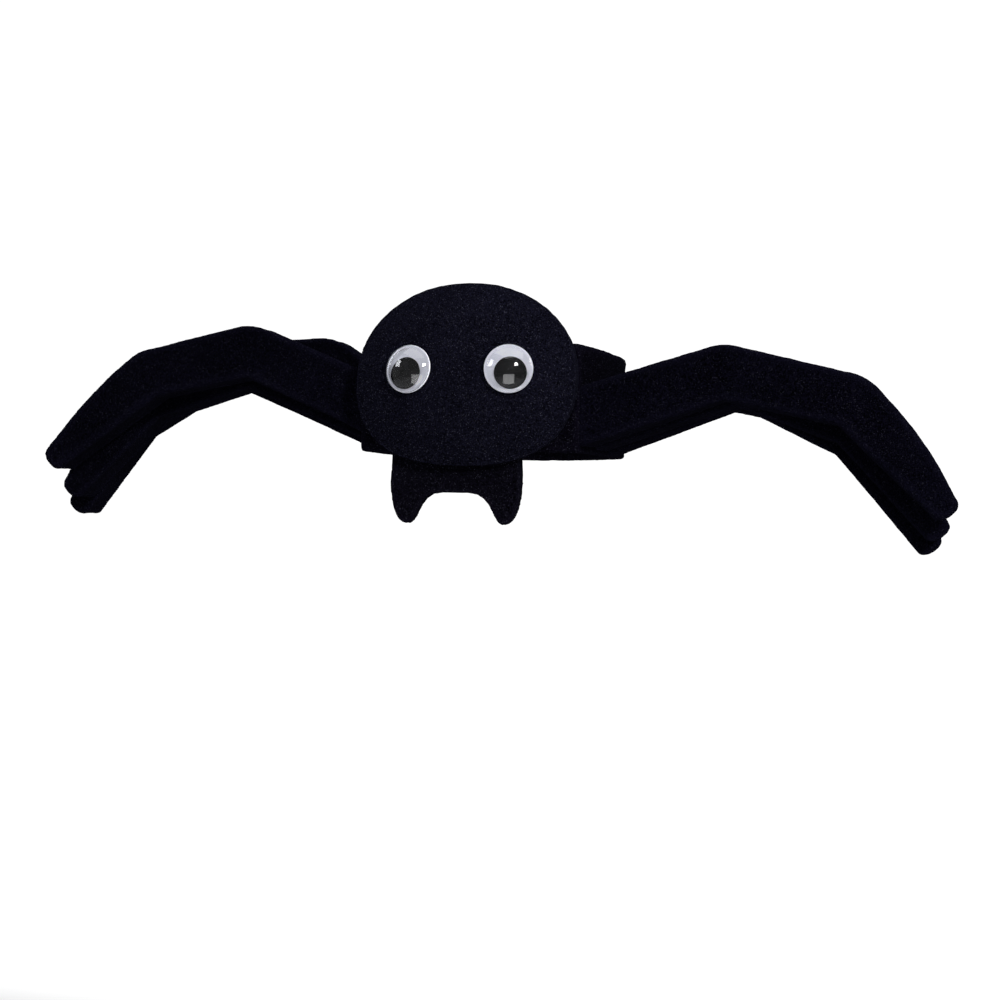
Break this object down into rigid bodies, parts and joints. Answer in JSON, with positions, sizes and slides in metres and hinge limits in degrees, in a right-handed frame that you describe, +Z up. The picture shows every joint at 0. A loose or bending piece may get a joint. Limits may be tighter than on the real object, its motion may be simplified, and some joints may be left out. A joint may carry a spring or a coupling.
{
  "type": "spider headband",
  "caption": "Black foam spider headband: a ring for the head with a domed body, loose-pupil eyes, fangs and bent legs that stand out to both sides.",
  "frame": {"origin": "middle of the opening for the head, at the lower rim of the band", "axes": "+Z up out of the wearer's head, -Y the way the spider and the wearer look, X across from leg tip to leg tip"},
  "size_m": [0.5923, 0.2259, 0.1616],
  "materials": {
    "foam_band": "flocked foam",
    "foam_body": "flocked foam",
    "foam_fangs": "flocked foam",
    "foam_legs": "flocked foam",
    "eye_white": "satin",
    "pupil_black": "satin",
    "lens_clear": "clear gloss"
  },
  "bodies": {
    "root": {"head_band": "foam_band", "spider_body": "foam_body", "fang_plate": "foam_fangs", "eye_cup_left": "eye_white", "eye_cup_right": "eye_white", "pupil_left": "pupil_black", "pupil_right": "pupil_black", "eye_lens_left": "lens_clear", "eye_lens_right": "lens_clear", "leg_left_1": "foam_legs", "leg_left_2": "foam_legs", "leg_left_3": "foam_legs", "leg_left_4": "foam_legs", "leg_right_1": "foam_legs", "leg_right_2": "foam_legs", "leg_right_3": "foam_legs", "leg_right_4": "foam_legs"}
  },
  "joints": []
}
